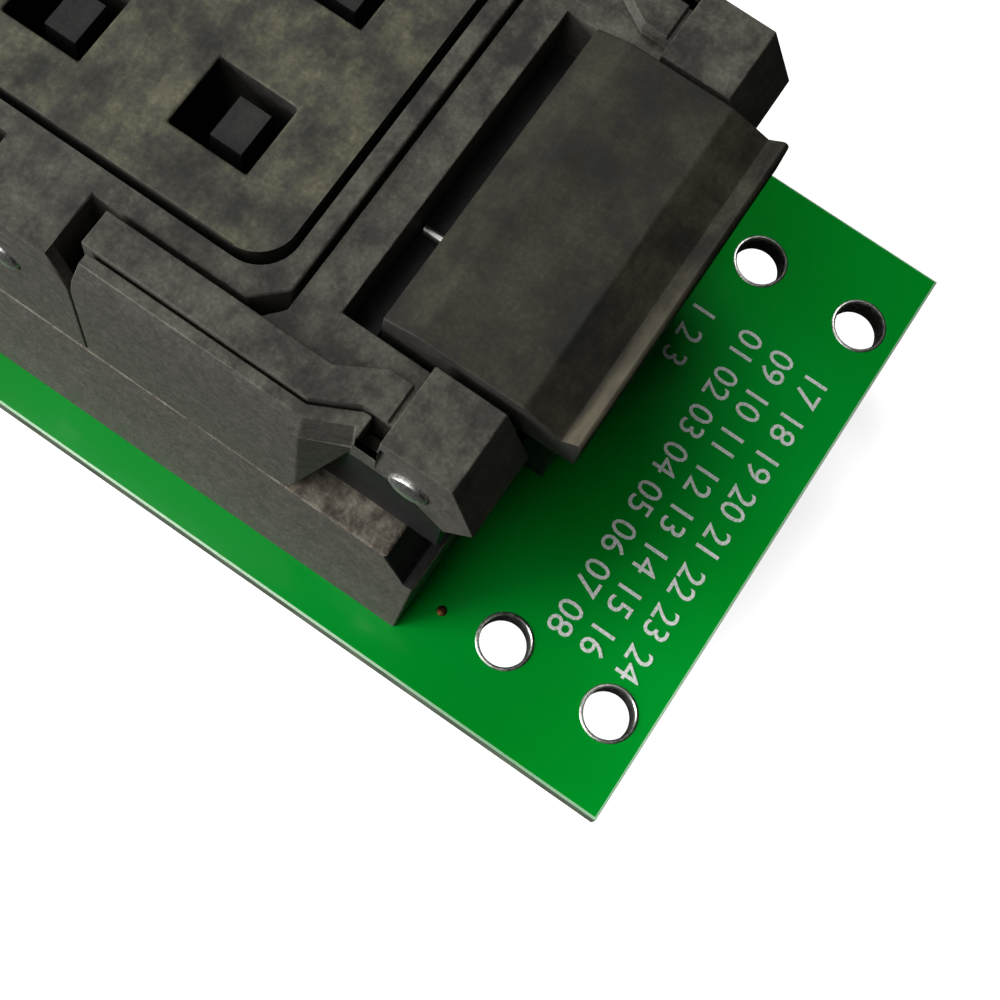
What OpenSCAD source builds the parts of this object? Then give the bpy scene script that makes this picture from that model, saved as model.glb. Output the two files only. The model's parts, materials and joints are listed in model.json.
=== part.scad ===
// Clamshell zero-force test socket on an adapter board.
// X runs from the hinge (-) to the latch (+), Z is up. The origin is on the surface that
// the header pins stand on, below the middle of the package nest.

/* [Adapter board] */
// Length of the board
board_l = 71.5; // [70:0.5:90]
// Width of the board
board_w = 35; // [34:0.5:50]
// Thickness of the board
board_t = 1.6; // [1:0.1:2.4]
// Distance from the middle to the inner plated holes
hole_inner_x = 27.1; // [26.5:0.1:28]
// Distance from the inner to the outer plated holes
hole_step = 6.35; // [5:0.05:6.5]
// Distance from the middle line to the plated holes
hole_y = 12.7; // [10:0.1:14]
// Radius of a plated hole
hole_r = 1.3; // [0.8:0.05:1.6]
// Width of the pad around a plated hole
pad_rim = 0.3; // [0.2:0.05:0.6]

/* [Pin headers] */
// Pitch of the header pins
pin_pitch = 2.54; // [2.54]
// Pins along one row of a header
pin_cols = 16; // [8:1:16]
// Width of a square header pin
pin_w = 0.64; // [0.5:0.01:0.7]
// Length of the pins below the header body
pin_len = 6; // [4:0.5:10]
// Distance from the middle line to the middle of a header
header_y = 11.43; // [11:0.01:12]

/* [Base housing] */
// Front face of the socket
base_front = 22.1; // [22:0.1:23]
// Rear face of the socket, behind the middle
base_rear = 22; // [22:0.1:23]
// Half the width of the socket
body_half_w = 14.2; // [14:0.1:15]
// Half the width of the base where it meets the board
foot_half_w = 15.4; // [14.8:0.1:15.6]
// Height of the base above the board
base_h = 7.9; // [7.8:0.05:8]
// Gap between the base and the lid above it
seam = 0.3; // [0.2:0.05:0.4]

/* [Hinge and pins] */
// Distance of the hinge axis behind the middle
hinge_back = 19.5; // [19.4:0.1:19.6]
// Height of the hinge axis above the board
hinge_h = 11; // [11:0.1:11.2]
// Radius of the hinge knuckles
knuckle_r = 2.5; // [2.2:0.1:2.6]
// Radius of the three steel pins
steel_r = 1; // [0.8:0.05:1.1]
// Running clearance of a turning piece on its pin
run_gap = 0.05; // [0.02:0.01:0.08]

/* [Lid frame] */
// Height of the lid's top face above the board
lid_top = 19.6; // [19.4:0.1:19.8]
// Front face of the lid's shoulders
shoulder_front = 1.9; // [1.8:0.05:2]
// Size of the open notch between a shoulder and the yoke's wall
notch_l = 1.5; // [1.3:0.1:1.6]
// Half the width of the bezel
bezel_half_w = 10.8; // [10.7:0.05:10.9]
// Front face of the bezel
bezel_front = 11.3; // [11.2:0.05:11.35]
// Size of the chamfer on the bezel's front corners
bezel_chamfer = 1.4; // [1:0.1:2]
// Height of the cross pin above the board
cross_h = 14.9; // [14.8:0.1:15]
// Distance of the cross pin behind the middle
cross_back = 1.1; // [1:0.05:1.2]

/* [Pressure plate] */
// Length of the plate along X
plate_l = 19.86; // [19.6:0.02:19.9]
// Width of the plate
plate_w = 18.4; // [18:0.1:18.5]
// Gap between the plate and its window
plate_gap = 0.42; // [0.3:0.02:0.44]
// Size of a square pocket along X
pocket_l = 4.2; // [3:0.1:4.2]
// Size of a square pocket along Y
pocket_w = 3.85; // [3:0.05:4]

/* [Yoke and latch] */
// Top of the yoke's outer walls above the board
wall_top = 19.9; // [19.7:0.05:19.95]
// Width of the groove between a wall and its arm
groove_w = 0.15; // [0.12:0.01:0.3]
// Top of the yoke's raised arms above the board
arm_top = 20.2; // [20:0.1:20.4]
// Top of the yoke's two posts above the board
post_top = 20.5; // [20.4:0.1:20.6]
// Distance of the latch pin ahead of the middle
latch_x = 20; // [19.9:0.1:20.1]
// Height of the latch pin above the board
latch_h = 17.7; // [17.6:0.1:17.8]
// Half the width of the latch slab along the pin
latch_half_w = 8.4; // [8:0.1:8.5]

/* [Contacts and nest] */
// Pitch of the contacts
ball_pitch = 0.5; // [0.5]
// Contacts along one side of the array
ball_rows = 14; // [10:1:14]
// Contacts left out along one side of its middle
ball_gap_rows = 6; // [4:2:8]
// Package size along X
package_l = 11.5; // [10:0.1:11.5]
// Package size along Y
package_w = 13; // [11:0.1:13]

/* [Hidden] */
$fn = 48;
header_h = 2.54;
header_w = 2 * pin_pitch;
header_l = pin_cols * pin_pitch;
board_top = pin_len + header_h + board_t;
over = 1;
plating = 0.15;
pad_t = 0.05;
hole_places = [for (sx = [-1, 1], sy = [-1, 1], k = [0, 1])
    [sx * (hole_inner_x + k * hole_step), sy * hole_y]];
screw_x = 17;
screw_y = 5.5;
screw_r = 1;
screw_depth = 5;
screw_head_r = 1.9;
screw_head_h = 1.2;
peg_r = 1;
pin_hole_r = 0.5;
hinge_x = -hinge_back;
cross_x = -cross_back;
bore_r = steel_r + run_gap;
lid_bottom = base_h + seam;
pin_head = 0.25;
front_z = 6.2;
front_x = [20.2, 21.5];
lug_y = 9.6;
knuckle_y = 5.2;
centre_lug_y = 2;
channel_half_w = 5.6;
channel_x = 21.2;
catch_z = 4.6;
catch_depth = 1.3;
block_half = 8.4;
block_top = 3.4;
cover_half = 9;
cover_top = 4.4;
nest_pocket = [11.25, 10.75];
nest_half = [11, 10.5];
nest_z = [5.2, 7.6];
nest_window = [package_l + 0.2, package_w + 0.2];
nest_lead = [1.4, 1.2];
nest_spring_at = [9.9, 9.4];
nest_spring_r = 0.8;
nest_spring_top = 6.6;
leg_half_w = 2;
leg_y = 10;
leg_z = [3.2, 3.9];
leg_gap = 0.3;
contact_w = 0.3;
barrel_top = 3.6;
plunger_r = 0.11;
plunger_z = [3.95, 4.95];
window_half = [plate_l / 2 + plate_gap, plate_w / 2 + plate_gap];
corner_r = 2;
plate_bottom = 13.3;
bezel_bottom = 13;
roof_z = 16.8;
cheek_y = 12.1;
cheek_rear = -14.5;
lid_rear = -21.5;
rear_z = 14.2;
rear_slope = [-18.5, 15.6];
shoulder_slot = [[-9, 10.65], [-2.7, 11.55]];
pocket_at = [4.5, 4.3];
pusher_half = [8.8, 8.5];
pusher_z = 9.8;
nose_half = [5.1, 6];
nose_z = 5.9;
pusher_screw_at = [7.6, 7.3];
pusher_screw_r = 0.6;
pusher_head_r = 1.1;
screw_top = 16;
boss_top = 19;
boss_half = [0.85, 1.15];
boss_shift = 0.4;
slot_x = [17.25, 18.1];
slot_z = [17.6, 18.8];
arm_y = bezel_half_w + 0.4;
arm_inner_y = 9.95;
arm_front = slot_x[1] - 0.2;
arm_outer_y = 13;
wall_inner_y = arm_outer_y + groove_w;
skin_y = 13.5;
notch_z = 16.6;
parting_x = shoulder_front + 0.9;
yoke_rear = parting_x + 0.1;
wall_rear = shoulder_front + notch_l;
crossbar_x = [bezel_front + 0.25, 13.5];
crossbar_top = 19.3;
corner_fill = [10.6, 10.1];
core_x = [4.4, 13.4];
core_y = [12.2, 13.2];
core_top = 17;
hollow_x = [14.8, 20.6];
hollow_half_w = 11.5;
hollow_top = 13;
jog_x = [14.6, 16.7];
jog_y = [arm_outer_y, 11.9];
outer_jog_x = [15, 17];
chamfer = [0.45, 1.6];
mitre = 0.1;
post_x = [18.2, 21.8];
post_y = 8.85;
post_half_w = 13.2;
post_top_half_w = 12.95;
post_foot = [22.1, 14.8];
scoop_z = 17.1;
post_nose = [23.4, scoop_z];
scoop_y = 12.4;
scoop_x = [14.4, 16.9, 19.6];
bay_floor = 14.8;
yoke_front = 21.9;
hub_r = 2;
knob_r = 1.6;
knob_y = 11.9;
spring_half_l = 2.7;
spring_coil = [1.95, 1.45];
spring_leg_z = latch_h - 1.7;
wire_r = 0.25;
coil_r = 1.75;
lid_spring_y = [2.3, 4.9];
latch_rear = 15.2;
ridge = [22.2, 20.95];
stem_half_w = 5.2;
stem_x = [22.4, 24];
nose_tip_x = channel_x + 0.15;
hook_z = [2.6, 4.1];

function contact_axis() = [for (i = [0 : ball_rows - 1]) i - (ball_rows - 1) / 2];
contact_places = [for (i = contact_axis(), j = contact_axis())
    if (max(abs(i), abs(j)) > ball_gap_rows / 2) [i, j] * ball_pitch];

module on_board() translate([0, 0, board_top]) children();
module both_sides() { children(); mirror([0, 1, 0]) children(); }
module four_ways() { both_sides() { children(); mirror([1, 0, 0]) children(); } }
module span(low, high) translate(low) cube(high - low);
// A side view drawn in X and Z, as a slab from y0 to y1
module slab_y(points, y0, y1)
    translate([0, y1, 0]) rotate([90, 0, 0]) linear_extrude(y1 - y0) polygon(points);
// An end view drawn in Y and Z, as a slab from x0 to x1
module slab_x(points, x0, x1)
    translate([x0, 0, 0]) rotate([90, 0, 90]) linear_extrude(x1 - x0) polygon(points);
// A plan drawn in X and Y, from z0 to z1
module plan(points, z0, z1) translate([0, 0, z0]) linear_extrude(z1 - z0) polygon(points);
module rod_y(x, z, r, y0, y1)
    translate([x, y1, z]) rotate([90, 0, 0]) cylinder(h = y1 - y0, r = r);
module rod_x(x0, x1, y, z, r)
    translate([x0, y, z]) rotate([0, 90, 0]) cylinder(h = x1 - x0, r = r);
module post_z(at, r, z0, z1)
    translate([at[0], at[1], z0]) cylinder(h = z1 - z0, r = r);
module rounded_plan(half, r) {
    square([2 * half[0] - 2 * r, 2 * half[1]], center = true);
    square([2 * half[0], 2 * half[1] - 2 * r], center = true);
    for (sx = [-1, 1], sy = [-1, 1])
        translate([sx * (half[0] - r), sy * (half[1] - r)]) circle(r);
}
// A steel pin across the socket with bevelled ends
module steel_pin(x, z, half_len)
    color("silver") on_board() translate([x, 0, z]) rotate([90, 0, 0]) rotate_extrude()
        polygon([[0, -half_len], [0.7 * steel_r, -half_len], [steel_r, pin_head - half_len],
                 [steel_r, half_len - pin_head], [0.7 * steel_r, half_len], [0, half_len]]);
module torsion_coil(x, z, y0, y1, coil) difference() {
    rod_y(x, z, coil[0], y0, y1);
    rod_y(x, z, coil[1], y0 - over, y1 + over);
}

module adapter_board() color("green") on_board() difference() {
    span([-board_l / 2, -board_w / 2, -board_t], [board_l / 2, board_w / 2, 0]);
    for (at = hole_places) post_z(at, hole_r + plating, -board_t - over, over);
    four_ways() post_z([screw_x, screw_y], screw_r + 0.1, -board_t - over, over);
    for (side = [-1, 1]) post_z([side * screw_x, 0], peg_r, -board_t - over, over);
    both_sides() header_grid() cylinder(h = 4 * board_t, r = pin_hole_r, center = true);
}
module header_grid()
    for (i = [0 : pin_cols - 1], row = [-0.5, 0.5])
        translate([(i - (pin_cols - 1) / 2) * pin_pitch, header_y + row * pin_pitch, 0]) children();

module hole_barrels() color("silver") on_board() for (at = hole_places) translate(at) difference() {
    union() {
        translate([0, 0, -board_t]) cylinder(h = board_t, r = hole_r + plating);
        cylinder(h = pad_t, r = hole_r + pad_rim);
        translate([0, 0, -board_t - pad_t]) cylinder(h = pad_t, r = hole_r + pad_rim);
    }
    cylinder(h = 4 * board_t, r = hole_r, center = true);
}

module header_body() color("#202020") difference() {
    span([-header_l / 2, header_y - header_w / 2, pin_len],
         [header_l / 2, header_y + header_w / 2, pin_len + header_h]);
    header_grid() translate([0, 0, board_top / 2]) cube([pin_w, pin_w, 2 * board_top], center = true);
}
module header_pins() color("gold") header_grid()
    translate([-pin_w / 2, -pin_w / 2, 0]) cube([pin_w, pin_w, board_top - 0.1]);
module header_left() header_body();
module header_right() mirror([0, 1, 0]) header_body();
module header_left_pins() header_pins();
module header_right_pins() mirror([0, 1, 0]) header_pins();

module board_screws() color("silver") on_board() four_ways() {
    post_z([screw_x, screw_y], screw_r, -board_t, screw_depth);
    difference() {
        post_z([screw_x, screw_y], screw_head_r, -board_t - screw_head_h, -board_t);
        translate([screw_x, screw_y, -board_t - screw_head_h])
            cube([1.3 * screw_head_r, 0.5, screw_head_h], center = true);
    }
}

module base_housing() color("#2a2a28") on_board() difference() {
    union() {
        // sides that flare out to a wider foot
        intersection() {
            slab_y([[-base_rear, 0], [base_front, 0], [base_front, front_z], [front_x[1], front_z],
                    [front_x[0], base_h], [-base_rear, base_h]], -foot_half_w, foot_half_w);
            slab_x([[-foot_half_w, 0], [foot_half_w, 0], [body_half_w, base_h], [-body_half_w, base_h]],
                   -base_rear, base_front);
        }
        both_sides() hinge_lug(lug_y, body_half_w);
        hinge_lug(-centre_lug_y, centre_lug_y);
        for (side = [-1, 1]) post_z([side * screw_x, 0], peg_r, -board_t, 0.5);
    }
    rod_y(hinge_x, hinge_h, steel_r, -2 * body_half_w, 2 * body_half_w);
    span([-block_half, -block_half, -over], [block_half, block_half, base_h]);
    span([-cover_half, -cover_half, block_top], [cover_half, cover_half, base_h]);
    span([-nest_pocket[0], -nest_pocket[1], cover_top], [nest_pocket[0], nest_pocket[1], base_h + over]);
    both_sides() {
        span([-leg_half_w - leg_gap, leg_y - 0.1, leg_z[0] - 2 * leg_gap],
             [leg_half_w + leg_gap, nest_pocket[1], base_h]);
        span([-leg_half_w - leg_gap, leg_y - 0.1, leg_z[0] - 2 * leg_gap],
             [leg_half_w + leg_gap, leg_y + 1.1 + leg_gap, leg_z[1] + 0.1]);
    }
    span([channel_x, -channel_half_w, -over], [base_front + over, channel_half_w, base_h + over]);
    span([channel_x - catch_depth, -channel_half_w, -over], [base_front, channel_half_w, catch_z]);
    four_ways() post_z([screw_x, screw_y], screw_r, -over, screw_depth);
}
module hinge_lug(y0, y1) {
    rod_y(hinge_x, hinge_h, knuckle_r, y0, y1);
    span([hinge_x - knuckle_r, y0, base_h - 0.5], [hinge_x + knuckle_r, y1, hinge_h]);
}

module contact_block() color("#3a3630") on_board() difference() {
    span([-block_half, -block_half, 0.1], [block_half, block_half, block_top]);
    for (at = contact_places) translate(at) cube([contact_w, contact_w, 3 * block_top], center = true);
}
module contact_cover() color("#45403a") on_board() difference() {
    span([-cover_half, -cover_half, block_top], [cover_half, cover_half, cover_top]);
    for (at = contact_places) {
        post_z(at, plunger_r + 0.02, block_top, cover_top + over);
        translate([at[0], at[1], block_top])
            cube([contact_w, contact_w, 2 * (barrel_top - block_top)], center = true);
    }
}
module contact_barrels() color("gold") on_board() for (at = contact_places)
    translate([at[0], at[1], barrel_top / 2]) cube([contact_w, contact_w, barrel_top], center = true);
module contact_plungers() color("gold") on_board() for (at = contact_places)
    post_z(at, plunger_r, plunger_z[0], plunger_z[1]);

module nest_frame() color("#33312d") on_board() {
    difference() {
        span([-nest_half[0], -nest_half[1], nest_z[0]], [nest_half[0], nest_half[1], nest_z[1]]);
        cube([nest_window[0], nest_window[1], 4 * nest_z[1]], center = true);
        translate([0, 0, nest_z[1]])
            cube([nest_window[0] + nest_lead[0], nest_window[1] + nest_lead[0], nest_lead[1]],
                 center = true);
        four_ways() {
            post_z(nest_window / 2, nest_spring_r, 0, lid_bottom);
            post_z(nest_spring_at, nest_spring_r + 0.2, 0, nest_spring_top);
        }
    }
    both_sides() {
        span([-leg_half_w, leg_y, leg_z[0]], [leg_half_w, nest_half[1], nest_z[0]]);
        span([-leg_half_w, leg_y, leg_z[0]], [leg_half_w, leg_y + 1.1, leg_z[1]]);
    }
}
module nest_springs() color("silver") on_board() four_ways() difference() {
    post_z(nest_spring_at, nest_spring_r, cover_top, nest_spring_top);
    post_z(nest_spring_at, nest_spring_r - 0.3, 0, lid_bottom);
}

module hinge_pin() steel_pin(hinge_x, hinge_h, body_half_w + pin_head);
module cross_pin() steel_pin(cross_x, cross_h, body_half_w + pin_head);
module latch_pin() steel_pin(latch_x, latch_h, post_half_w + pin_head);

module lid_springs() color("silver") on_board() both_sides() {
    torsion_coil(hinge_x, hinge_h, lid_spring_y[0], lid_spring_y[1], [coil_r + wire_r, coil_r - wire_r]);
    rod_x(hinge_x, -15, lid_spring_y[0] + 0.3, hinge_h - coil_r, wire_r);
    post_z([hinge_x + coil_r, lid_spring_y[1] - 0.3], wire_r, hinge_h, rear_z - 0.1);
}

module lid_frame() color("#2c2c2a") on_board() difference() {
    union() {
        // bezel around the plate, and the roof over the yoke's rear arms
        plan([[cheek_rear, -bezel_half_w], [bezel_front - bezel_chamfer, -bezel_half_w],
              [bezel_front, bezel_chamfer - bezel_half_w], [bezel_front, bezel_half_w - bezel_chamfer],
              [bezel_front - bezel_chamfer, bezel_half_w], [cheek_rear, bezel_half_w]],
             bezel_bottom, lid_top);
        span([cheek_rear, -body_half_w, roof_z], [shoulder_front, body_half_w, lid_top]);
        both_sides() {
            span([cheek_rear, cheek_y, lid_bottom], [shoulder_front, body_half_w, lid_top]);
            slab_y([[cheek_rear, lid_bottom], [parting_x, lid_bottom], [parting_x, notch_z],
                    [shoulder_front, lid_top], [cheek_rear, lid_top]], skin_y, body_half_w);
        }
        slab_y([[lid_rear, rear_z], [lid_rear, rear_slope[1]], [rear_slope[0], lid_top],
                [cheek_rear + 0.5, lid_top],
                [cheek_rear + 0.5, rear_z]], -body_half_w, body_half_w);
        both_sides() {
            rod_y(hinge_x, hinge_h, knuckle_r, knuckle_y, lug_y - 0.2);
            span([lid_rear, knuckle_y, hinge_h], [hinge_x + knuckle_r, lug_y - 0.2, rear_z + 0.5]);
        }
    }
    translate([0, 0, bezel_bottom - over]) linear_extrude(lid_top) rounded_plan(window_half, corner_r);
    rod_y(cross_x, cross_h, steel_r, -2 * body_half_w, 2 * body_half_w);
    rod_y(hinge_x, hinge_h, bore_r, -2 * body_half_w, 2 * body_half_w);
    both_sides() plan([shoulder_slot[0], [shoulder_slot[1][0], shoulder_slot[0][1]],
                       shoulder_slot[1], [shoulder_slot[0][0], shoulder_slot[1][1]]],
                      roof_z - over, lid_top + over);
}

module pressure_plate() color("#3a3a37") on_board() difference() {
    translate([0, 0, plate_bottom]) linear_extrude(lid_top - plate_bottom)
        rounded_plan([plate_l / 2, plate_w / 2], corner_r);
    four_ways() {
        translate(pocket_at) cube([pocket_l, pocket_w, 3 * lid_top], center = true);
        post_z(pusher_screw_at, pusher_screw_r, 0, screw_top);
    }
    rod_y(cross_x, cross_h, bore_r, -plate_w, plate_w);
}
module pusher_block() color("#4a4a46") on_board() difference() {
    union() {
        span([-pusher_half[0], -pusher_half[1], pusher_z], [pusher_half[0], pusher_half[1], plate_bottom]);
        span([-nose_half[0], -nose_half[1], nose_z], [nose_half[0], nose_half[1], pusher_z + 0.5]);
        for (px = [-1, 1], py = [-1, 1])
            translate([px * pocket_at[0] + boss_shift, py * pocket_at[1], 0])
                span([-boss_half[0], -boss_half[1], pusher_z + 1], [boss_half[0], boss_half[1], boss_top]);
    }
    four_ways() {
        post_z(pusher_screw_at, pusher_screw_r, 0, lid_top);
        post_z(pusher_screw_at, pusher_head_r, 0, pusher_z + 1);
    }
    rod_y(cross_x, cross_h, bore_r, -plate_w, plate_w);
}
module pusher_screws() color("silver") on_board() four_ways() {
    post_z(pusher_screw_at, pusher_screw_r, pusher_z + 1, screw_top);
    post_z(pusher_screw_at, pusher_head_r, pusher_z + 0.2, pusher_z + 1);
}

// Cuts the top outer edge off a wall that runs between two points of its plan
module edge_cut(from, to) {
    run = to - from;
    translate([from[0], from[1], wall_top]) rotate([0, 0, atan2(run[1], run[0])])
        slab_x([[-chamfer[0], over], [-chamfer[0], 0], [0, -chamfer[1]], [over, -chamfer[1]],
                [over, over]], -mitre, norm(run) + mitre);
}
module yoke_wall() difference() {
    union() {
        plan([[wall_rear, arm_y], [wall_rear, body_half_w], [outer_jog_x[0], body_half_w],
              [outer_jog_x[1], post_half_w], [post_x[0] + 0.1, post_half_w],
              [post_x[0] + 0.1, arm_inner_y], [jog_x[1], arm_inner_y], [jog_x[0], arm_y]],
             lid_bottom, wall_top);
        // thin skin that closes the notch at the side
        slab_y([[yoke_rear, lid_bottom], [yoke_rear, notch_z], [wall_rear, wall_top],
                [wall_rear + 0.1, lid_bottom]], skin_y, body_half_w);
    }
    edge_cut([yoke_rear, body_half_w], [outer_jog_x[0], body_half_w]);
    edge_cut([outer_jog_x[0], body_half_w], [outer_jog_x[1], post_half_w]);
    // groove that follows the arm
    plan([[yoke_rear, jog_y[0]], [yoke_rear, wall_inner_y], [jog_x[0] + 0.1, wall_inner_y],
          [jog_x[1] + 0.1, jog_y[1] + groove_w], [slot_x[1], jog_y[1] + groove_w],
          [slot_x[1], jog_y[1]], [jog_x[1], jog_y[1]], [jog_x[0], jog_y[0]]],
         scoop_z, wall_top + over);
}
module post() intersection() {
    slab_y([[post_x[0], lid_bottom], [post_x[0], post_top], [post_x[1], post_top], post_nose,
            post_foot, [yoke_front, post_foot[1]], [yoke_front, lid_bottom]], post_y, post_half_w);
    slab_x([[post_y, 0], [post_half_w, 0], [post_half_w, scoop_z], [post_top_half_w, post_top],
            [post_y, post_top]], 0, 2 * yoke_front);
}
// Leaning hollow under the post, with a slanted end towards the wall
module scoop() intersection() {
    slab_y([[scoop_x[0], base_h], [scoop_x[1], scoop_z], [scoop_x[2], scoop_z], post_foot,
            [2 * yoke_front, post_foot[1]], [2 * yoke_front, base_h]], 0, 2 * body_half_w);
    slab_x([[scoop_y, base_h], [post_half_w, scoop_z], [2 * body_half_w, scoop_z],
            [2 * body_half_w, base_h]], 0, 2 * yoke_front);
}
module yoke() color("#2e2e2c") on_board() difference() {
    union() {
        both_sides() {
            yoke_wall();
            // raised arm
            plan([[3, arm_y], [3, jog_y[0]], [jog_x[0], jog_y[0]], [jog_x[1], jog_y[1]],
                  [arm_front, jog_y[1]], [arm_front, arm_inner_y], [jog_x[1], arm_inner_y],
                  [jog_x[0], arm_y]], roof_z, arm_top);
            // corner level with the crossbar, filled behind the bezel's chamfer
            plan([[13, post_y], [post_x[0] + 0.1, post_y], [post_x[0] + 0.1, arm_inner_y + 0.1],
                  [jog_x[1], arm_inner_y + 0.1], [jog_x[0], arm_y + 0.1], [corner_fill[0], arm_y + 0.1],
                  [corner_fill[0], arm_y], [crossbar_x[0], corner_fill[1]], [13, corner_fill[1]]],
                 lid_bottom, crossbar_top);
            post();
            // rear arm to the cross pin
            rod_y(cross_x, cross_h, knob_r, arm_y, knob_y);
            span([cross_x, arm_y, cross_h - knob_r], [4, knob_y, cross_h + knob_r - 0.1]);
        }
        span([crossbar_x[0], -arm_y, bezel_bottom], [crossbar_x[1], arm_y, crossbar_top]);
        span([crossbar_x[1] - 0.5, -post_y - 0.1, lid_bottom],
             [yoke_front, post_y + 0.1, bay_floor]);
        span([crossbar_x[1] - 0.5, -post_y - 0.1, bay_floor - 1],
             [hollow_x[0], post_y + 0.1, spring_leg_z - 0.3]);
    }
    both_sides() {
        scoop();
        // closed slot behind the post
        span([slot_x[0], jog_y[1], slot_z[0]], [slot_x[1], post_top_half_w, slot_z[1] + over]);
        span([slot_x[0], jog_y[1], slot_z[1]], [post_x[0], post_half_w + over, 2 * wall_top]);
        // coring of the walls
        span([core_x[0], core_y[0], 0], [core_x[1], core_y[1], core_top]);
    }
    span([hollow_x[0], -hollow_half_w, 0], [hollow_x[1], hollow_half_w, hollow_top]);
    span([channel_x, -channel_half_w, 0], [2 * yoke_front, channel_half_w, bay_floor]);
    rod_y(latch_x, latch_h, steel_r, -2 * body_half_w, 2 * body_half_w);
    rod_y(cross_x, cross_h, bore_r, -2 * body_half_w, 2 * body_half_w);
}

// One torsion spring around the middle of the latch pin
module latch_spring() color("silver") on_board() {
    torsion_coil(latch_x, latch_h, -spring_half_l, spring_half_l, spring_coil);
    rod_x(crossbar_x[1] + 0.1, latch_x, wire_r - spring_half_l, spring_leg_z, wire_r);
}
module latch() color("#2a2a28") on_board() difference() {
    union() {
        // slab with a ridge, and a raised lip for the thumb
        slab_y([[latch_rear, 17.6], [latch_rear, 20.3], [16.9, 20.85], ridge, [24.2, 20.2],
                [24.9, 20.85], [25.15, 20.7], [25.2, 18.4], [24.4, 18.2], [17.5, 18.2], [16.5, 17.6]],
               -latch_half_w, latch_half_w);
        rod_y(latch_x, latch_h, hub_r, -latch_half_w, latch_half_w);
        slab_y([[stem_x[0], 18.5], [stem_x[1], 18.5], [stem_x[1], hook_z[0]], [stem_x[0] - 0.2, hook_z[0]],
                [nose_tip_x, hook_z[0] + 0.7], [nose_tip_x, hook_z[1]], [stem_x[0], hook_z[1]]],
               -stem_half_w, stem_half_w);
    }
    rod_y(latch_x, latch_h, spring_coil[0] + 0.2, -spring_half_l - 0.1, spring_half_l + 0.1);
    rod_y(latch_x, latch_h, bore_r, -latch_half_w - over, latch_half_w + over);
}

adapter_board();
hole_barrels();
header_left();
header_right();
header_left_pins();
header_right_pins();
board_screws();
base_housing();
contact_block();
contact_cover();
contact_barrels();
contact_plungers();
nest_frame();
nest_springs();
hinge_pin();
lid_springs();
lid_frame();
cross_pin();
pressure_plate();
pusher_block();
pusher_screws();
yoke();
latch_pin();
latch_spring();
latch();
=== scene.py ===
import json
import math

import bmesh
import bpy
from mathutils import Matrix, Vector


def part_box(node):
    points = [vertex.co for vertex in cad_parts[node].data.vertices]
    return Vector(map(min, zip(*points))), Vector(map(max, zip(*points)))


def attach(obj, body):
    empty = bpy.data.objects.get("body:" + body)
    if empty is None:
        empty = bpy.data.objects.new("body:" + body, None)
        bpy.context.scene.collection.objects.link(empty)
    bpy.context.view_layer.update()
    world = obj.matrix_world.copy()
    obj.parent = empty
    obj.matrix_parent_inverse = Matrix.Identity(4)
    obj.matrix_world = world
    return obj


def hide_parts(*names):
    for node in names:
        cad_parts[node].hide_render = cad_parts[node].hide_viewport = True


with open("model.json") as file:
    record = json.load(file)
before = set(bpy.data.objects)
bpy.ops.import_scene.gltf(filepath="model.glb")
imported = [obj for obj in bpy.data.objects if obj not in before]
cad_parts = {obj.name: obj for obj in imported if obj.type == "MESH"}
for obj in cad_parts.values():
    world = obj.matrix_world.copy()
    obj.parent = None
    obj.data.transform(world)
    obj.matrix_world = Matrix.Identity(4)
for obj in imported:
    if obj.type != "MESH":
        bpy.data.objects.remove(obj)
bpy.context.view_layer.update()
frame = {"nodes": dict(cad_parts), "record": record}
mm = 0.001
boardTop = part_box("hole_barrels")[1][2] / mm - 0.05


def linear(hexColour):
    # sRGB hex to the linear values that shader sockets take
    parts = [int(hexColour[i:i + 2], 16) / 255 for i in (1, 3, 5)]
    return [c / 12.92 if c <= 0.04045 else ((c + 0.055) / 1.055) ** 2.4 for c in parts] + [1.0]


def addNode(tree, kind, settings=None, links=None):
    node = tree.nodes.new(kind)
    for name, value in (settings or {}).items():
        if isinstance(name, int) or name in node.inputs:
            node.inputs[name].default_value = value
        elif name == "stops":
            while len(node.color_ramp.elements) < len(value):
                node.color_ramp.elements.new(0.5)
            for element, (place, colour) in zip(node.color_ramp.elements, value):
                element.position = place
                element.color = linear(colour) if isinstance(colour, str) else [colour] * 3 + [1]
        else:
            setattr(node, name, value)
    for name, (source, output) in (links or {}).items():
        tree.links.new(source.outputs[output], node.inputs[name])
    return node


def newMaterial(name):
    material = bpy.data.materials.new(name)
    material.use_nodes = True
    tree = material.node_tree
    tree.nodes.clear()
    shader = addNode(tree, "ShaderNodeBsdfPrincipled")
    addNode(tree, "ShaderNodeOutputMaterial", links={"Surface": (shader, "BSDF")})
    coords = addNode(tree, "ShaderNodeTexCoord")
    return material, tree, shader, coords


def noise(tree, coords, sizeMm, detail=2.0, rough=0.5, stretch=(1, 1, 1)):
    # blobs about sizeMm across on the real object
    turn = addNode(tree, "ShaderNodeMapping", {"Scale": stretch}, {"Vector": (coords, "Object")})
    return addNode(tree, "ShaderNodeTexNoise",
                   {"Scale": 1 / (sizeMm * mm), "Detail": detail, "Roughness": rough},
                   {"Vector": (turn, "Vector")})


def ramp(tree, source, output, stops):
    return addNode(tree, "ShaderNodeValToRGB", {"stops": stops}, {"Fac": (source, output)})


def mixed(tree, factor, first, second, mode="MIX"):
    # factor is a number or, like first and second, a (node, output) pair
    settings = {"data_type": "RGBA", "blend_type": mode}
    links = {6: first, 7: second}
    if isinstance(factor, tuple):
        links[0] = factor
    else:
        settings[0] = factor
    return addNode(tree, "ShaderNodeMix", settings, links)


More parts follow.
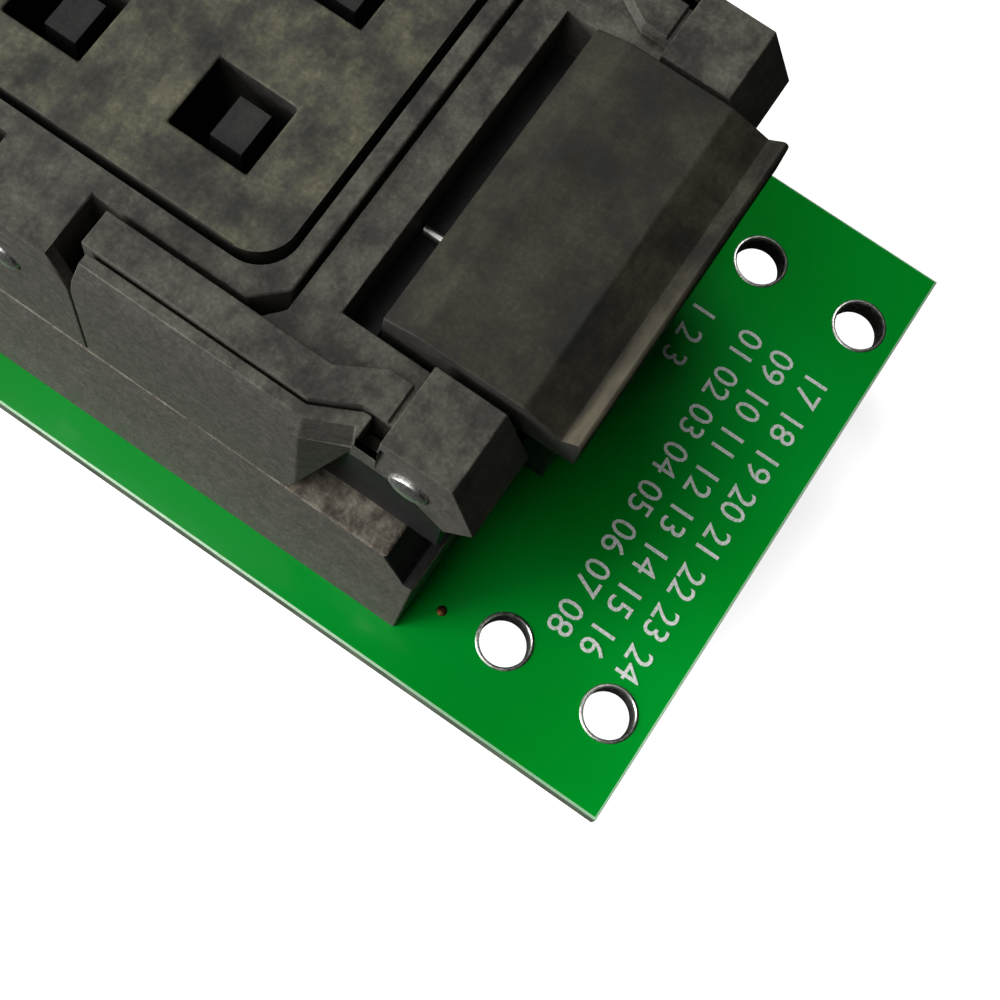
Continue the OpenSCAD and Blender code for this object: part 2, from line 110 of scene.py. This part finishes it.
def bumpFrom(tree, shader, height, depthMm, strength=1.0):
    bump = addNode(tree, "ShaderNodeBump", {"Strength": strength, "Distance": depthMm * mm},
                   {"Height": height})
    tree.links.new(bump.outputs["Normal"], shader.inputs["Normal"])


def glassFilledPps(name, s):
    # Glass-filled PPS, moulded: a dull black, clouded olive and brown-grey where the fibres
    # lie near the skin of a level face, and plainer on the drafted walls.
    material, tree, shader, coords = newMaterial(name)
    clouds = noise(tree, coords, s["cloudMm"], 5.0, 0.68)
    flow = noise(tree, coords, 0.8, 4.0, 0.65, (1, 0.45, 1))
    both = addNode(tree, "ShaderNodeMath", {"operation": "MULTIPLY_ADD", 1: 0.5},
                   {0: (flow, "Fac"), 2: (clouds, "Fac")})
    tones = s["tones"]
    cloudRamp = ramp(tree, both, "Value",
                     [(0.58, tones[0]), (0.7, tones[1]), (0.79, tones[2]), (0.93, tones[3])])
    facing = addNode(tree, "ShaderNodeSeparateXYZ", links={"Vector": (coords, "Normal")})
    topMask = ramp(tree, facing, "Z", [(0.35, 0.0), (0.85, 1.0)])
    wall = ramp(tree, flow, "Fac", [(0.3, s["walls"][0]), (0.75, s["walls"][1])])
    colour = mixed(tree, (topMask, "Color"), (wall, "Color"), (cloudRamp, "Color"))
    grain = noise(tree, coords, s["grainMm"], 3.0, 0.7)
    specks = ramp(tree, grain, "Fac", [(0.3, "#7c7c7a"), (0.52, "#b9b9b6"), (0.72, "#ffffff")])
    colour = mixed(tree, 0.4, (colour, 2), (specks, "Color"), "OVERLAY")
    if "lip" in s:
        # the lip's top turns a lighter brown, fullest at its outer edge and -Y end, fading out towards
        # +Y
        place = addNode(tree, "ShaderNodeSeparateXYZ", links={"Vector": (coords, "Object")})
        across = addNode(tree, "ShaderNodeMapRange",
                         {"From Min": s["lip"]["x"][0] * mm, "From Max": s["lip"]["x"][1] * mm},
                         {"Value": (place, "X")})
        along = addNode(tree, "ShaderNodeMapRange",
                        {"From Min": s["lip"]["y"][1] * mm, "From Max": s["lip"]["y"][0] * mm},
                        {"Value": (place, "Y")})
        paleLipMask = addNode(tree, "ShaderNodeMath", {"operation": "MULTIPLY"},
                      {0: (across, "Result"), 1: (along, "Result")})
        paleLipMask = addNode(tree, "ShaderNodeMath", {"operation": "MULTIPLY"},
                      {0: (paleLipMask, "Value"), 1: (topMask, "Color")})
        paleLipTones = ramp(tree, flow, "Fac", [(0.3, s["lip"]["tones"][0]), (0.7, s["lip"]["tones"][1])])
        colour = mixed(tree, (paleLipMask, "Value"), (colour, 2), (paleLipTones, "Color"))
    tree.links.new(colour.outputs[2], shader.inputs["Base Color"])
    dull = ramp(tree, flow, "Fac", [(0.3, s["rough"] - 0.08), (0.7, s["rough"] + 0.1)])
    tree.links.new(dull.outputs["Color"], shader.inputs["Roughness"])
    shader.inputs["IOR"].default_value = 1.42
    bumpFrom(tree, shader, (grain, "Fac"), s["bumpMm"], 0.6)
    return material


def solderMask(name, tones):
    # Epoxy solder mask: a deep glossy green over copper; its pale copy on the board's eased edges is
    # thin mask with a painted highlight
    material, tree, shader, coords = newMaterial(name)
    pour = noise(tree, coords, 14, 1.0)
    colour = ramp(tree, pour, "Fac", [(0.35, tones[0]), (0.65, tones[1])])
    tree.links.new(colour.outputs["Color"], shader.inputs["Base Color"])
    peel = noise(tree, coords, 0.9, 2.0)
    gloss = ramp(tree, peel, "Fac", [(0.3, 0.1), (0.7, 0.14)])
    tree.links.new(gloss.outputs["Color"], shader.inputs["Roughness"])
    shader.inputs["IOR"].default_value = 1.55
    bumpFrom(tree, shader, (peel, "Fac"), 0.006, 0.3)
    return material


def glassEpoxy():
    # FR-4 glass epoxy, sawn: a dusty grey green edge with fine layers of glass cloth
    material, tree, shader, coords = newMaterial("sawnGlassEpoxy")
    layers = noise(tree, coords, 0.3, 3.0, 0.6, (0.15, 0.15, 1))
    colour = ramp(tree, layers, "Fac", [(0.3, "#3d4a3a"), (0.7, "#7d8a74")])
    tree.links.new(colour.outputs["Color"], shader.inputs["Base Color"])
    shader.inputs["Roughness"].default_value = 0.7
    bumpFrom(tree, shader, (layers, "Fac"), 0.03, 0.6)
    return material


def metal(name, s):
    # a bare metal surface: bright, with fine marks of the tool that made it
    material, tree, shader, coords = newMaterial(name)
    marks = noise(tree, coords, s["grainMm"], 3.0, 0.6, s.get("stretch", (1, 1, 1)))
    colour = ramp(tree, marks, "Fac", [(0.3, s["colours"][0]), (0.7, s["colours"][1])])
    tree.links.new(colour.outputs["Color"], shader.inputs["Base Color"])
    shader.inputs["Metallic"].default_value = 1.0
    dull = ramp(tree, marks, "Fac", [(0.3, s["rough"]), (0.7, s["rough"] + 0.1)])
    tree.links.new(dull.outputs["Color"], shader.inputs["Roughness"])
    bumpFrom(tree, shader, (marks, "Fac"), s.get("depthMm", 0.006), 0.4)
    return material


def legendInk():
    # White epoxy ink, screen printed: dull, a little ragged, with green showing through
    material, tree, shader, coords = newMaterial("whiteLegendInk")
    rag = noise(tree, coords, 0.15, 2.0)
    colour = ramp(tree, rag, "Fac", [(0.3, "#c4e2c8"), (0.6, "#ffffff")])
    tree.links.new(colour.outputs["Color"], shader.inputs["Base Color"])
    shader.inputs["Roughness"].default_value = 0.6
    return material


ppsSettings = {
    "black_pps": dict(tones=("#23211e", "#393731", "#4b4940", "#5d5a50"), walls=("#4c4a45", "#5d5a54"),
                      rough=0.62, cloudMm=2.2, grainMm=0.22, bumpMm=0.03),
    "base_pps": dict(tones=("#4a443b", "#625b50", "#7a7366", "#8f8879"), walls=("#4c4a45", "#5d5a54"),
                     rough=0.62, cloudMm=1.2, grainMm=0.22, bumpMm=0.04),
    # painted shade: a darker copy of the moulded black for faces in recesses that lie in shadow
    "painted_shade_pps": dict(tones=("#151413", "#1c1b19", "#232220", "#2a2927"), walls=("#161517", "#1f1e20"),
                       rough=0.6, cloudMm=2.2, grainMm=0.22, bumpMm=0.03),
    "latch_pps": dict(tones=("#181711", "#222018", "#2d2a1e", "#39362a"), walls=("#2a2826", "#363330"),
                      rough=0.66, cloudMm=3.5, grainMm=0.2, bumpMm=0.004,
                      lip=dict(x=(24.1, 24.6), y=(-8.4, 2), tones=("#4c473a", "#6b6453"))),
    "plate_pps": dict(tones=("#24231e", "#3d3b32", "#504e3f", "#66634f"), walls=("#2a2926", "#383632"),
                      rough=0.62, cloudMm=3.0, grainMm=0.25, bumpMm=0.03),
    "nest_grey": dict(tones=("#161615", "#1c1c1b", "#232322", "#2b2b29"), walls=("#141413", "#1c1c1b"),
                      rough=0.7, cloudMm=2.0, grainMm=0.2, bumpMm=0.02),
    "header_black": dict(tones=("#161616", "#1b1b1a", "#212120", "#272726"),
                         walls=("#161616", "#1f1f1f"),
                         rough=0.45, cloudMm=2.0, grainMm=0.15, bumpMm=0.01),
}
metalSettings = {
    "plated_copper": dict(colours=("#aab0a6", "#eef0e8"), rough=0.32, grainMm=0.3),
    "bare_copper": dict(colours=("#5c3a22", "#8a5a34"), rough=0.4, grainMm=0.1),
    "gold_plate": dict(colours=("#c79a45", "#e8c777"), rough=0.2, grainMm=0.2),
    "steel": dict(colours=("#c6c4be", "#fbfaf6"), rough=0.38, grainMm=0.12, stretch=(1, 0.1, 1)),
}
finishes = {name: glassFilledPps(name + "_moulded", s) for name, s in ppsSettings.items()}
finishes.update({name: metal(name + "_bare", s) for name, s in metalSettings.items()})
# thin_mask: pale thin mask with a painted highlight, for the board's eased edges
finishes.update(solder_mask=solderMask("greenSolderMask", ("#009a24", "#00a834")),
                thin_mask=solderMask("thinMaskAndPaintedHighlight", ("#8fd09c", "#c4ecc6")),
                fr4=glassEpoxy(), legend=legendInk())
slotOf = {part["node"]: part["material_slot"] for part in frame["record"]["subparts"]}
bodyOf = {node: body for body, nodes in frame["record"]["behaviour"]["bodies"].items() for node in nodes}
for nodeName, nodeObject in frame["nodes"].items():
    slots = nodeObject.data.materials
    if len(slots) == 0:
        slots.append(None)
    for index in range(len(slots)):
        slots[index] = finishes[slotOf[nodeName]]
print("materials made:", len(finishes))


def finishPiece(bm, name, body, replaced, materials, sharpDeg=35):
    # turns a millimetre mesh into a finished piece that stands for CAD nodes
    bmesh.ops.scale(bm, vec=(mm, mm, mm), verts=bm.verts)
    for face in bm.faces:
        face.smooth = True
    mesh = bpy.data.meshes.new(name)
    bm.to_mesh(mesh)
    bm.free()
    mesh.set_sharp_from_angle(angle=math.radians(sharpDeg))
    for material in materials:
        mesh.materials.append(material)
    piece = bpy.data.objects.new(name, mesh)
    bpy.context.scene.collection.objects.link(piece)
    piece.modifiers.new("weighted", "WEIGHTED_NORMAL").keep_sharp = True
    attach(piece, body)
    if replaced:
        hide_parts(*replaced)
    return piece


def nodeCopy(nodeName):
    # a clean copy of a CAD node in millimetres, its flat faces joined up
    bm = bmesh.new()
    bm.from_mesh(frame["nodes"][nodeName].data)
    bmesh.ops.scale(bm, vec=(1 / mm, 1 / mm, 1 / mm), verts=bm.verts)
    bmesh.ops.remove_doubles(bm, verts=bm.verts, dist=0.0005)
    bmesh.ops.dissolve_limit(bm, angle_limit=math.radians(0.5), verts=bm.verts, edges=bm.edges)
    return bm


def roundEdges(bm, edges, width, segments=3):
    bmesh.ops.bevel(bm, geom=edges, offset=width, offset_type="OFFSET", segments=segments,
                    profile=0.5, affect="EDGES", clamp_overlap=False, material=-1)


def spinShape(bm, outline, matrix, steps=28):
    # turns an outline of (radius, height) points about Z, then puts it in place
    verts = [bm.verts.new((radius, 0, height)) for radius, height in outline]
    edges = [bm.edges.new(pair) for pair in zip(verts, verts[1:])]
    before = set(bm.verts) - set(verts)
    bmesh.ops.spin(bm, geom=verts + edges, cent=(0, 0, 0), axis=(0, 0, 1), angle=math.tau,
                   steps=steps, use_merge=True)
    made = [v for v in bm.verts if v not in before]
    bmesh.ops.transform(bm, matrix=matrix, verts=made)
    bmesh.ops.remove_doubles(bm, verts=made, dist=0.001)


def coilShape(bm, s, matrix):
    # a helical spring about Z, from its own height 0 up
    turnSteps = 20
    ring = bmesh.ops.create_circle(bm, cap_ends=False, segments=8, radius=s["wireR"])["verts"]
    bmesh.ops.rotate(bm, verts=ring, cent=(0, 0, 0), matrix=Matrix.Rotation(math.pi / 2, 3, "X"))
    bmesh.ops.translate(bm, verts=ring, vec=(s["coilR"], 0, s["wireR"]))
    edges = list({e for v in ring for e in v.link_edges})
    before = set(bm.verts) - set(ring)
    steps = int(s["turns"] * turnSteps)
    rise = (s["height"] - 2 * s["wireR"]) / steps
    bmesh.ops.spin(bm, geom=ring + edges, cent=(0, 0, 0), axis=(0, 0, 1), dvec=(0, 0, rise),
                   angle=math.tau * s["turns"], steps=steps)
    made = [v for v in bm.verts if v not in before]
    bmesh.ops.holes_fill(bm, edges=[e for e in bm.edges if e.is_boundary], sides=0)
    bmesh.ops.transform(bm, matrix=matrix, verts=made)


def rodShape(bm, start, end, radius, segments=12):
    start, end = Vector(start), Vector(end)
    along = end - start
    turn = along.to_track_quat("Z", "Y").to_matrix().to_4x4()
    bmesh.ops.create_cone(bm, cap_ends=True, segments=segments, radius1=radius, radius2=radius,
                          depth=along.length, matrix=Matrix.Translation((start + end) / 2) @ turn)


def atBoard(x, y, z, turn=None):
    place = Matrix.Translation((x, y, boardTop + z))
    return place @ turn if turn else place


alongY = Matrix.Rotation(-math.pi / 2, 4, "X")

# moulded pieces: their long edges are rounded as the mould leaves them; the faces inside each
# "hollows" box (X, Y on both sides, height above the board) get painted shade, a darker copy
mouldings = {
    "base_housing": dict(width=0.15, minLength=1.2, main="base_pps",
                         hollows=[((19.9, 0, 5.9), (22.05, 16, 7.85))]),
    "lid_frame": dict(width=0.12, minLength=1.0),
    "yoke": dict(width=0.07, minLength=0.5,
                 hollows=[((14.2, 10.5, 8), (22.3, 13.14, 17.3)), ((14.6, 13.1, 8), (17, 13.6, 17.3)),
                          ((13, -9, 7), (22, 9, 16.4))]),
    "pressure_plate": dict(width=0.16, minLength=1.0, main="plate_pps"),
    "pusher_block": dict(width=0.04, minLength=0.9),
    "nest_frame": dict(width=0.04, minLength=0.8),
    "latch": dict(width=0.1, minLength=1.2, minDeg=12, main="latch_pps"),
}
for nodeName, s in mouldings.items():
    bm = nodeCopy(nodeName)
    edges = [e for e in bm.edges if e.is_manifold and e.calc_length() > s["minLength"]
             and e.calc_face_angle() > math.radians(s.get("minDeg", 24))]
    roundEdges(bm, edges, s["width"])
    # painted shade: faces inside each box take the darker second material
    for low, high in s.get("hollows", []):
        for face in bm.faces:
            x, y, z = face.calc_center_median()
            inside = zip(low, (x, abs(y), z - boardTop), high)
            if all(least < value < most for least, value, most in inside):
                face.material_index = 1
    main = s.get("main", slotOf[nodeName])
    finishPiece(bm, nodeName + "_moulding", bodyOf[nodeName], [nodeName],
                [finishes[main], finishes["painted_shade_pps"]])
print("mouldings softened:", len(mouldings))

# the board: mask on both faces, thin and pale over the eased edges with a painted highlight there, sawn
# glass epoxy at the sides
boardSettings = {"edgeRound": 0.12, "viaAt": (23.6, -13.25), "viaR": 0.28}
bm = nodeCopy("adapter_board")
longEdges = [e for e in bm.edges if e.is_manifold and e.calc_length() > 10
             and e.calc_face_angle() > math.radians(60)]
roundEdges(bm, longEdges, boardSettings["edgeRound"], 2)
for face in bm.faces:
    slope = abs(face.normal.z)
    face.material_index = 0 if slope > 0.99 else 1 if slope < 0.3 else 2
finishPiece(bm, "masked_board", "base", ["adapter_board"],
            [finishes[name] for name in ("solder_mask", "fr4", "thin_mask")])
bm = bmesh.new()
viaOutline = [(0, 0.05), (boardSettings["viaR"] * 0.7, 0.045), (boardSettings["viaR"], 0.0), (0, -0.02)]
spinShape(bm, viaOutline, atBoard(*boardSettings["viaAt"], 0.0), 16)
bmesh.ops.recalc_face_normals(bm, faces=bm.faces)
finishPiece(bm, "via_cap", "base", [], [finishes["bare_copper"]])

# plated holes: one flared barrel each, its rims rounded over the mask
holeSettings = {"boreR": 1.3, "wall": 0.15, "rim": 0.22, "rimHigh": 0.05, "boardT": 1.6,
                "placesX": (27.1, 33.45), "placeY": 12.7}
s = holeSettings
outR = s["boreR"] + s["wall"]
rimR = s["boreR"] + s["rim"]
barrel = [(s["boreR"], -s["boardT"] / 2), (s["boreR"], -0.12), (s["boreR"] + 0.04, 0.0),
          (s["boreR"] + 0.1, s["rimHigh"]), (rimR - 0.06, s["rimHigh"]), (rimR, 0.01), (outR, 0.0),
          (outR, -s["boardT"] / 2)]
wholeBarrel = barrel + [(r, -s["boardT"] - h) for r, h in reversed(barrel[1:-1])] + [barrel[0]]
bm = bmesh.new()
for sx in (-1, 1):
    for sy in (-1, 1):
        for holeX in s["placesX"]:
            spinShape(bm, wholeBarrel, atBoard(sx * holeX, sy * s["placeY"], 0), 40)
bmesh.ops.recalc_face_normals(bm, faces=bm.faces)
finishPiece(bm, "plated_barrels", "base", ["hole_barrels"], [finishes["plated_copper"]])
print("board ready")

# generic legend: rows of plain counting numbers where a board has its printing
legendSettings = {
    "size": 2.0, "halfTall": 0.7, "thick": 0.012,
    "rows": [("1 2 3", 26.1, 8.9), ("01 02 03 04 05 06 07 08", 29.0, 9.0),
             ("09 10 11 12 13 14 15 16", 31.0, 9.0), ("17 18 19 20 21 22 23 24", 33.2, 9.0)],
}
bm = bmesh.new()
for words, rowX, rowY in legendSettings["rows"]:
    letters = bpy.data.curves.new("row", "FONT")
    letters.body = words
    letters.size = legendSettings["size"]
    letters.extrude = legendSettings["thick"]
    letters.resolution_u = 3
    lettersObject = bpy.data.objects.new("row", letters)
    bpy.context.scene.collection.objects.link(lettersObject)
    graph = bpy.context.evaluated_depsgraph_get()
    flat = bpy.data.meshes.new_from_object(lettersObject.evaluated_get(graph))
    turn = Matrix.Rotation(-math.pi / 2, 4, "Z")
    flat.transform(atBoard(rowX - legendSettings["halfTall"], rowY, legendSettings["thick"], turn))
    bm.from_mesh(flat)
    bpy.data.objects.remove(lettersObject)
    bpy.data.meshes.remove(flat)
bmesh.ops.remove_doubles(bm, verts=bm.verts, dist=0.0005)
finishPiece(bm, "row_numbers", "base", [], [finishes["legend"]])

# pin headers: notched nylon bodies and square pins with tapered tips
headerSettings = {"pitch": 2.54, "columns": 16, "y": 11.43, "bodyH": 2.54, "notch": 0.4,
                  "pinW": 0.64, "pinLen": 6.0, "tip": 0.6}
s = headerSettings
columnX = [(i - (s["columns"] - 1) / 2) * s["pitch"] for i in range(s["columns"])]
pinTop = boardTop - 0.1
for side, sy in (("left", 1), ("right", -1)):
    bm = bmesh.new()
    for x in columnX:
        block = bmesh.ops.create_cube(bm, size=1)["verts"]
        bmesh.ops.scale(bm, vec=(s["pitch"], 2 * s["pitch"], s["bodyH"]), verts=block)
        bmesh.ops.translate(bm, vec=(x, sy * s["y"], s["pinLen"] + s["bodyH"] / 2), verts=block)
        upright = [e for e in {e for v in block for e in v.link_edges}
                   if abs(e.verts[0].co.z - e.verts[1].co.z) > 1]
        roundEdges(bm, upright, s["notch"], 1)
    finishPiece(bm, "header_" + side + "_body", "base", ["header_" + side], [finishes["header_black"]])
    bm = bmesh.new()
    for x in columnX:
        for row in (-0.5, 0.5):
            pin = bmesh.ops.create_cube(bm, size=1)["verts"]
            bmesh.ops.scale(bm, vec=(s["pinW"], s["pinW"], pinTop - s["tip"]), verts=pin)
            bmesh.ops.translate(bm, verts=pin, vec=(x, sy * (s["y"] + row * s["pitch"]),
                                                    (pinTop + s["tip"]) / 2))
            foot = [f for f in {f for v in pin for f in v.link_faces} if f.normal.z < -0.9]
            made = bmesh.ops.extrude_discrete_faces(bm, faces=foot)["faces"][0]
            middle = made.calc_center_median()
            bmesh.ops.scale(bm, vec=(0.45, 0.45, 1), space=Matrix.Translation(-middle), verts=made.verts)
            bmesh.ops.translate(bm, vec=(0, 0, -s["tip"]), verts=made.verts)
    finishPiece(bm, "header_" + side + "_pin_set", "base", ["header_" + side + "_pins"],
                [finishes["gold_plate"]])
print("headers ready")

# ground steel pins with domed ends, from each node's own box
pinSettings = {"nodes": ("hinge_pin", "cross_pin", "latch_pin"), "radius": 1.0}
radius = pinSettings["radius"]
for nodeName in pinSettings["nodes"]:
    low, high = [Vector(corner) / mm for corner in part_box(nodeName)]
    middle = (low + high) / 2
    half = (high.y - low.y) / 2
    dome = [(radius, half - 0.3), (0.93 * radius, half - 0.14), (0.72 * radius, half - 0.05), (0, half)]
    outline = [(r, -h) for r, h in reversed(dome)] + dome
    bm = bmesh.new()
    spinShape(bm, outline, Matrix.Translation(middle) @ alongY, 36)
    bmesh.ops.recalc_face_normals(bm, faces=bm.faces)
    finishPiece(bm, nodeName + "_ground", bodyOf[nodeName], [nodeName], [finishes["steel"]])

# springs: wound wire in the room that each CAD sleeve holds
springSettings = {
    "lid": dict(coilR=1.75, wireR=0.24, height=2.6, turns=5.25, axisX=-19.5, axisZ=11.0,
                startY=2.3, legsY=(2.6, 4.6), lowLegEndX=-15, highLegEndZ=14.1),
    "latch": dict(coilR=1.7, wireR=0.24, height=5.4, turns=10.5, axisX=20.0, axisZ=17.7,
                  legEndX=13.65),
}
bm = bmesh.new()
s = springSettings["lid"]
for sy in (-1, 1):
    flip = Matrix.Scale(sy, 4, (0, 1, 0))
    coilShape(bm, s, flip @ atBoard(s["axisX"], s["startY"], s["axisZ"], alongY))
    lowY, highY = [sy * y for y in s["legsY"]]
    lowZ = boardTop + s["axisZ"] - s["coilR"]
    highX = s["axisX"] + s["coilR"]
    rodShape(bm, (s["axisX"], lowY, lowZ), (s["lowLegEndX"], lowY, lowZ), s["wireR"])
    rodShape(bm, (highX, highY, boardTop + s["axisZ"]), (highX, highY, boardTop + s["highLegEndZ"]),
             s["wireR"])
bmesh.ops.recalc_face_normals(bm, faces=bm.faces)
finishPiece(bm, "lid_spring_wire", "base", ["lid_springs"], [finishes["steel"]])
bm = bmesh.new()
s = springSettings["latch"]
coilShape(bm, s, atBoard(s["axisX"], -s["height"] / 2, s["axisZ"], alongY))
legY = s["wireR"] - s["height"] / 2
legZ = boardTop + s["axisZ"] - s["coilR"]
rodShape(bm, (s["axisX"], legY, legZ), (s["legEndX"], legY, legZ), s["wireR"])
bmesh.ops.recalc_face_normals(bm, faces=bm.faces)
finishPiece(bm, "latch_spring_wire", "yoke", ["latch_spring"], [finishes["steel"]])
print("pins and springs ready")

# floor, light and camera
stageSettings = {"floorHalf": 0.6, "floorTone": "#ffffff", "floorGlow": 0.8, "floorDrop": 0.00002,
                 "roomGlow": 1.0}
floorMesh = bpy.data.meshes.new("floor")
bm = bmesh.new()
bmesh.ops.create_grid(bm, x_segments=1, y_segments=1, size=stageSettings["floorHalf"])
bmesh.ops.translate(bm, vec=(0, 0, -stageSettings["floorDrop"]), verts=bm.verts)
bm.to_mesh(floorMesh)
bm.free()
floor = bpy.data.objects.new("floor", floorMesh)
bpy.context.scene.collection.objects.link(floor)
floorMaterial, tree, shader, coords = newMaterial("palePaper")
shader.inputs["Base Color"].default_value = linear(stageSettings["floorTone"])
shader.inputs["Roughness"].default_value = 0.9
shader.inputs["Emission Color"].default_value = linear(stageSettings["floorTone"])
shader.inputs["Emission Strength"].default_value = stageSettings["floorGlow"]
floorMesh.materials.append(floorMaterial)
floor.visible_diffuse = False  # keeps the hollows as dark as on a real bench
floor.visible_glossy = False

lights = {
    "above": dict(place=(-0.17, 0.19, 0.5), size=0.2, power=1.0),
    "window": dict(place=(-0.12, -0.24, 0.45), size=0.3, power=0.75),
    "side": dict(place=(-0.42, -0.36, 0.18), size=0.3, power=4.0),
    "card": dict(place=(-0.13, -0.13, 0.5), size=0.4, power=0.25),
}
lampAim = (0, 0, 0.02)
for lightName, s in lights.items():
    lamp = bpy.data.lights.new(lightName, "AREA")
    lamp.size = s["size"]
    lamp.energy = s["power"]
    lampObject = bpy.data.objects.new(lightName, lamp)
    lampObject.location = s["place"]
    aim = Vector(lampAim) - lampObject.location
    lampObject.rotation_euler = aim.to_track_quat("-Z", "Y").to_euler()
    bpy.context.scene.collection.objects.link(lampObject)
world = bpy.data.worlds.new("studio")
bpy.context.scene.world = world
world.use_nodes = True
roomLight = world.node_tree.nodes["Background"]
roomLight.inputs["Color"].default_value = linear(stageSettings["floorTone"])
roomLight.inputs["Strength"].default_value = stageSettings["roomGlow"]
world.cycles_visibility.diffuse = False  # a white room behind, lit only by the lamps
world.cycles_visibility.glossy = False

cameraSettings = {
    "placeMm": (26.064, -31.183, 94.381),  # from the package's middle, above the board
    "turnDeg": (17.3325, -4.5268, 34.3381),
    "lens": 67.38,
    "shift": (0.07, -0.14),
}
cameraData = bpy.data.cameras.new("camera")
cameraData.lens = cameraSettings["lens"]
cameraData.sensor_width = 36
cameraData.shift_x, cameraData.shift_y = cameraSettings["shift"]
cameraData.clip_start = 0.005
camera = bpy.data.objects.new("camera", cameraData)
x, y, z = cameraSettings["placeMm"]
camera.location = (x * mm, y * mm, (z + boardTop) * mm)
camera.rotation_euler = [math.radians(a) for a in cameraSettings["turnDeg"]]
bpy.context.scene.collection.objects.link(camera)
bpy.context.scene.camera = camera
bpy.context.scene.view_settings.view_transform = "Standard"
print("stage ready")
